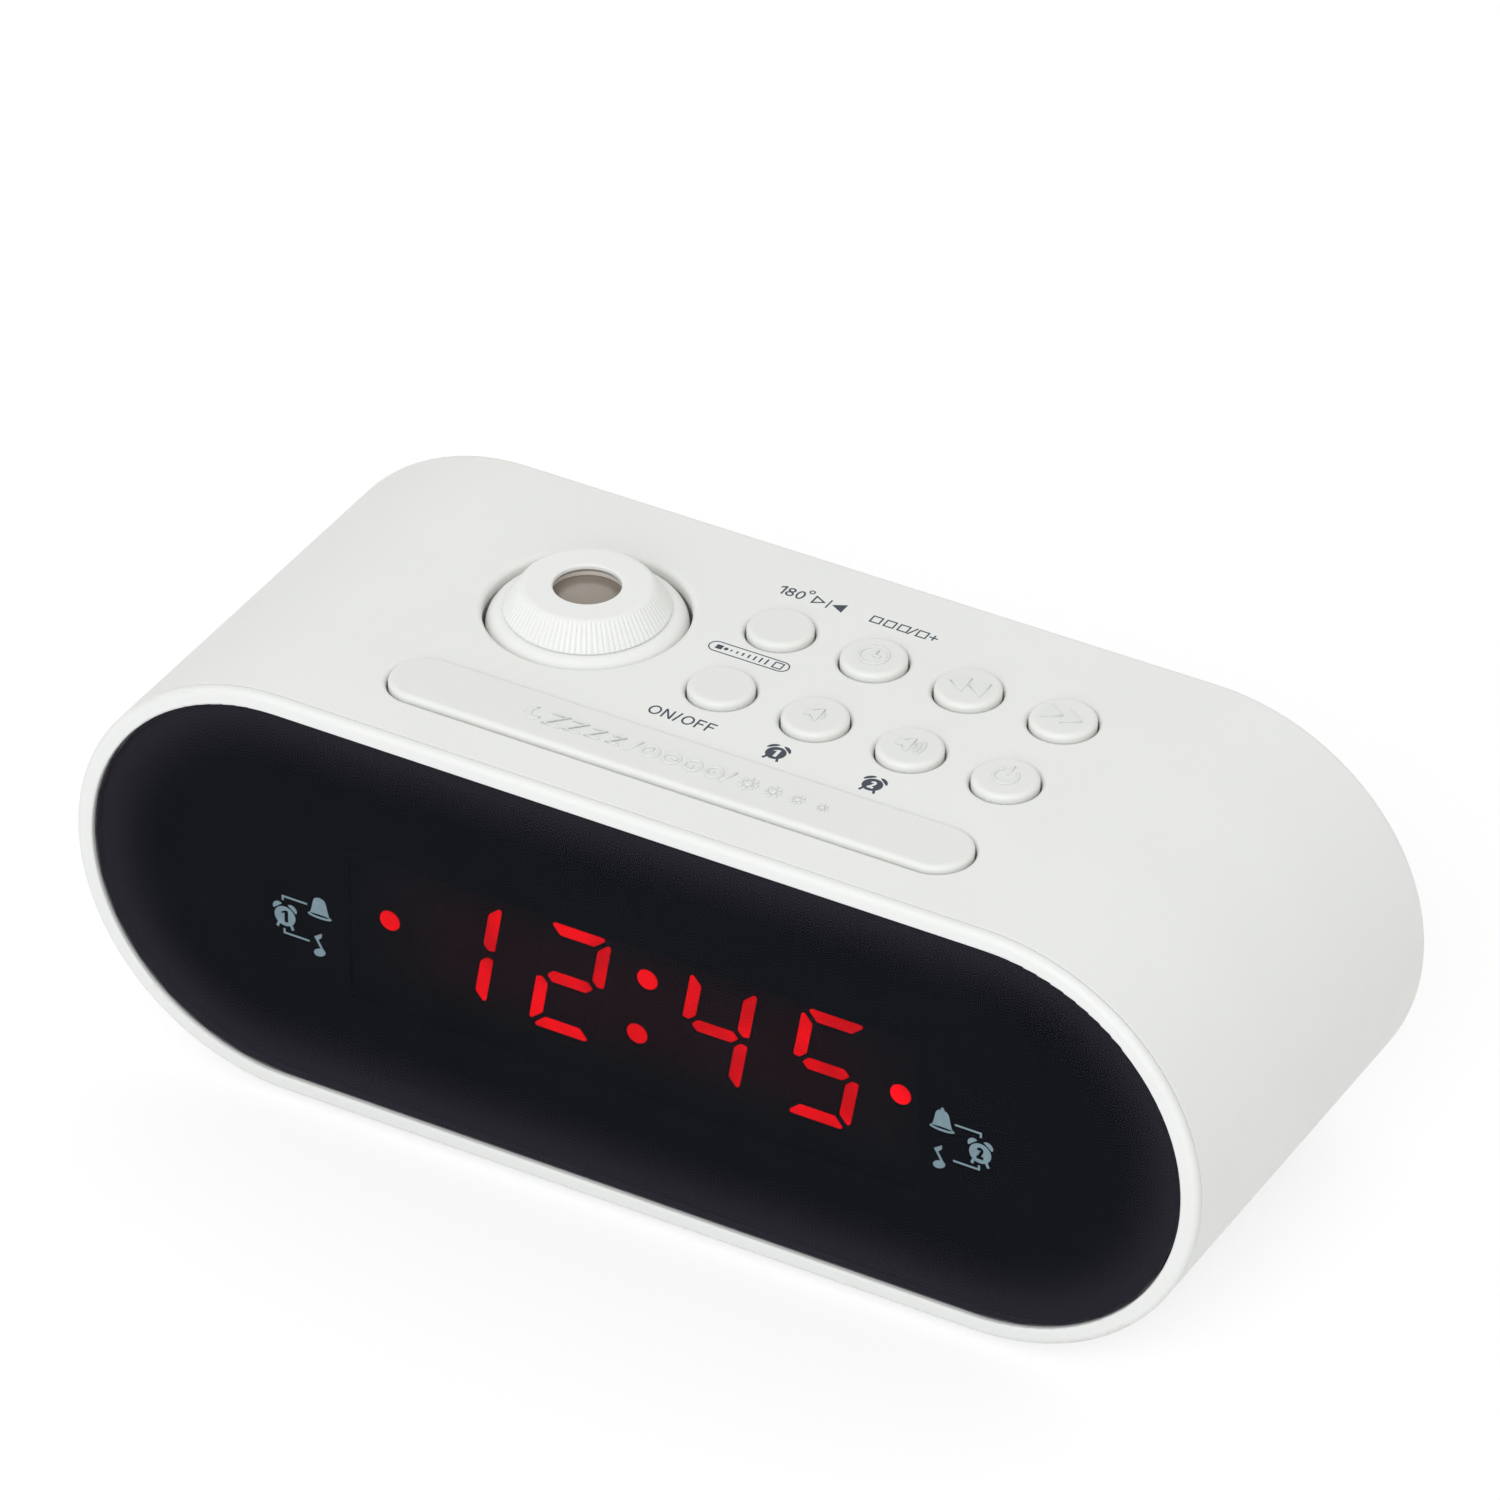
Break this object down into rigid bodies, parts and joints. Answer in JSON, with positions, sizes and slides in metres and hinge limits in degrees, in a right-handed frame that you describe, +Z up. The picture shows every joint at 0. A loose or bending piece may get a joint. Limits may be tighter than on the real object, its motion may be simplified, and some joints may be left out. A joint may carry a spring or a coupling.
{
  "type": "projection alarm clock",
  "caption": "Bedside alarm clock with a round-ended housing, a wide display panel, round top keys, a long snooze bar and a tilting projector with a focus ring.",
  "frame": {"origin": "middle of the footprint, on the surface that the rubber feet stand on", "axes": "+X to the right as the display is read, +Y from the display to the rear cover, +Z up"},
  "size_m": [0.2, 0.0776, 0.0812],
  "materials": {
    "shell_white": "satin moulded off-white",
    "key_white": "satin moulded white, slightly brighter than the shell",
    "inner_white": "plain moulded white",
    "barrel_cream": "plain moulded cream",
    "smoked_panel": "polished smoked acrylic",
    "black_plastic": "fine matte",
    "dark_strokes": "unlit diffuser",
    "red_light": "glowing red diffuser",
    "circuit_board": "green solder mask",
    "screw_steel": "zinc plated",
    "foot_rubber": "soft matte",
    "cell_jacket": "plain jacket",
    "contact_metal": "nickel plated spring sheet",
    "capacitor_can": "can with plain sleeve",
    "speaker_steel": "pressed and painted",
    "magnet_grey": "ferrite",
    "cone_paper": "black pressed paper",
    "clear_optics": "polished clear",
    "slide_glass": "small display glass",
    "lamp_red": "clear red lamp body"
  },
  "bodies": {
    "housing": {"main_shell": "shell_white", "front_bezel": "shell_white", "display_lens": "smoked_panel", "display_frame": "black_plastic", "frame_screws": "screw_steel", "led_module": "black_plastic", "lit_segments": "red_light", "unlit_segments": "dark_strokes", "display_board": "circuit_board", "display_board_screws": "screw_steel", "rear_cover": "shell_white", "cover_screws": "screw_steel", "rubber_feet": "foot_rubber", "battery_cells": "cell_jacket", "battery_contacts": "contact_metal", "battery_springs": "contact_metal", "main_board": "circuit_board", "main_board_screws": "screw_steel", "main_chip": "black_plastic", "capacitors": "capacitor_can", "dc_jack": "black_plastic", "speaker_frame": "speaker_steel", "speaker_magnet": "magnet_grey", "speaker_cone": "cone_paper", "key_board": "circuit_board", "key_board_screws": "screw_steel", "key_switches": "black_plastic", "projector_socket": "inner_white", "socket_screws": "screw_steel"},
    "projector_head": {"projector_head": "key_white", "condenser_lens": "clear_optics", "lcd_slide": "slide_glass", "head_base": "inner_white", "projector_board": "circuit_board", "projector_led": "lamp_red"},
    "focus_ring": {"focus_ring": "key_white"},
    "lens_barrel": {"lens_barrel": "barrel_cream", "objective_lens": "clear_optics"},
    "snooze_bar": {"snooze_bar": "key_white"},
    "battery_door": {"battery_door": "shell_white"},
    "key_projection": {"key_projection": "key_white"},
    "key_volume_down": {"key_volume_down": "key_white"},
    "key_volume_up": {"key_volume_up": "key_white"},
    "key_power": {"key_power": "key_white"},
    "key_flip": {"key_flip": "key_white"},
    "key_clock": {"key_clock": "key_white"},
    "key_back": {"key_back": "key_white"},
    "key_forward": {"key_forward": "key_white"}
  },
  "joints": [
    {"name": "key_projection_press", "type": "slide", "parent": "housing", "child": "key_projection", "axis": [0, 0, -1], "range_m": [0, 0.0009], "stiffness_N_per_m": 1000, "springref_m": -0.0006},
    {"name": "key_volume_down_press", "type": "slide", "parent": "housing", "child": "key_volume_down", "axis": [0, 0, -1], "range_m": [0, 0.0009], "stiffness_N_per_m": 1000, "springref_m": -0.0006},
    {"name": "key_volume_up_press", "type": "slide", "parent": "housing", "child": "key_volume_up", "axis": [0, 0, -1], "range_m": [0, 0.0009], "stiffness_N_per_m": 1000, "springref_m": -0.0006},
    {"name": "key_power_press", "type": "slide", "parent": "housing", "child": "key_power", "axis": [0, 0, -1], "range_m": [0, 0.0009], "stiffness_N_per_m": 1000, "springref_m": -0.0006},
    {"name": "key_flip_press", "type": "slide", "parent": "housing", "child": "key_flip", "axis": [0, 0, -1], "range_m": [0, 0.0009], "stiffness_N_per_m": 1000, "springref_m": -0.0006},
    {"name": "key_clock_press", "type": "slide", "parent": "housing", "child": "key_clock", "axis": [0, 0, -1], "range_m": [0, 0.0009], "stiffness_N_per_m": 1000, "springref_m": -0.0006},
    {"name": "key_back_press", "type": "slide", "parent": "housing", "child": "key_back", "axis": [0, 0, -1], "range_m": [0, 0.0009], "stiffness_N_per_m": 1000, "springref_m": -0.0006},
    {"name": "key_forward_press", "type": "slide", "parent": "housing", "child": "key_forward", "axis": [0, 0, -1], "range_m": [0, 0.0009], "stiffness_N_per_m": 1000, "springref_m": -0.0006},
    {"name": "snooze_bar_press", "type": "slide", "parent": "housing", "child": "snooze_bar", "axis": [0, 0, -1], "range_m": [0, 0.0008], "stiffness_N_per_m": 1400, "springref_m": -0.0006},
    {"name": "projector_tilt", "type": "hinge", "parent": "housing", "child": "projector_head", "pos_m": [-0.033, 0.00745, 0.0716], "axis": [1, 0, 0], "range_deg": [-20, 20]},
    {"name": "focus_turn", "type": "hinge", "parent": "projector_head", "child": "focus_ring", "pos_m": [-0.033, 0.00745, 0.0766], "axis": [0, 0, 1], "range_deg": [-60, 60]},
    {"name": "barrel_slide", "type": "slide", "parent": "projector_head", "child": "lens_barrel", "axis": [0, 0, 1], "range_m": [-0.0005, 0.0005]},
    {"name": "battery_door_slide", "type": "slide", "parent": "housing", "child": "battery_door", "axis": [0, 1, 0], "range_m": [0, 0.028]}
  ],
  "couplings": [
    {"joint": "barrel_slide", "follows": "focus_turn", "m_per_rad": 0.000477}
  ]
}
